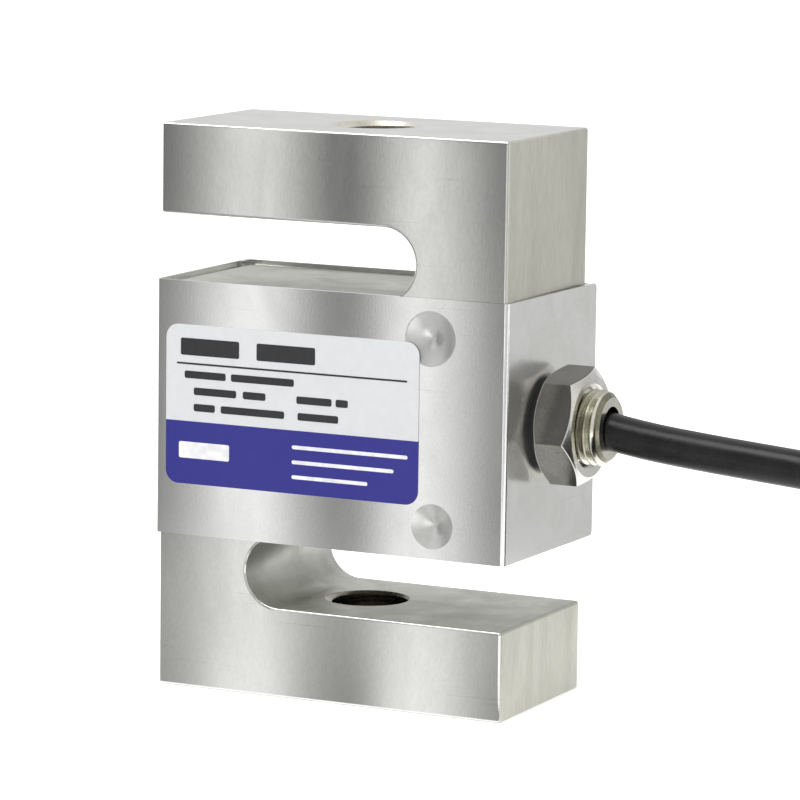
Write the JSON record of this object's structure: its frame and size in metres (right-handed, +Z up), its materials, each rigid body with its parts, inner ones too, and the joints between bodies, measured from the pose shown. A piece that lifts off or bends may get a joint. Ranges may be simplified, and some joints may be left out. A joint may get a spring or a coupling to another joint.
{
  "type": "s type load cell",
  "caption": "S shaped force sensor block with a threaded load hole in each arm, sheet covers over the gauge pockets and a cable gland with a tied lead.",
  "frame": {"origin": "centre of the lower load thread on the bottom face", "axes": "+Z up the load line through both threaded holes, +X towards the cable gland, -Y is the labelled face"},
  "size_m": [0.2061, 0.0476, 0.0762],
  "materials": {
    "nickel_plated_steel": "nickel plated, fine ground",
    "front_cover_steel": "bright sheet, lightly brushed",
    "rear_cover_steel": "bright sheet, lightly brushed",
    "label_film": "silver film with a blue band",
    "gauge_foil": "amber film with foil grids",
    "silicone": "soft clear silicone",
    "board_laminate": "green laminate",
    "chip_ceramic": "black glaze with tinned ends",
    "gland_nickel": "nickel plated brass",
    "nut_nickel": "nickel plated brass, tumbled",
    "black_rubber": "matt",
    "cable_jacket": "smooth black jacket",
    "tie_fabric": "woven hook and loop strap",
    "shrink_sleeve": "shrunk, slightly glossy",
    "core_red": "smooth",
    "core_black": "smooth",
    "core_green": "smooth",
    "core_white": "smooth",
    "drain_wire": "tinned twisted strands",
    "lead_enamel": "enamelled copper"
  },
  "bodies": {
    "root": {"spring_element": "nickel_plated_steel", "front_cover": "front_cover_steel", "rear_cover": "rear_cover_steel", "name_label": "label_film", "front_gauge": "gauge_foil", "rear_gauge": "gauge_foil", "front_potting": "silicone", "rear_potting": "silicone", "bridge_board": "board_laminate", "span_resistor_left": "chip_ceramic", "zero_resistor": "chip_ceramic", "span_resistor_right": "chip_ceramic", "gland_stud": "gland_nickel", "gland_nut": "nut_nickel", "gland_washer": "black_rubber", "gland_seal": "black_rubber", "cable_inside": "cable_jacket", "cable": "cable_jacket", "cable_hank": "cable_jacket", "hank_tie": "tie_fabric", "end_sleeve": "shrink_sleeve", "tail_red": "core_red", "tail_black": "core_black", "tail_green": "core_green", "tail_white": "core_white", "end_red": "core_red", "end_black": "core_black", "end_green": "core_green", "end_white": "core_white", "end_shield": "drain_wire", "front_leads": "lead_enamel", "rear_leads": "lead_enamel"}
  },
  "joints": []
}
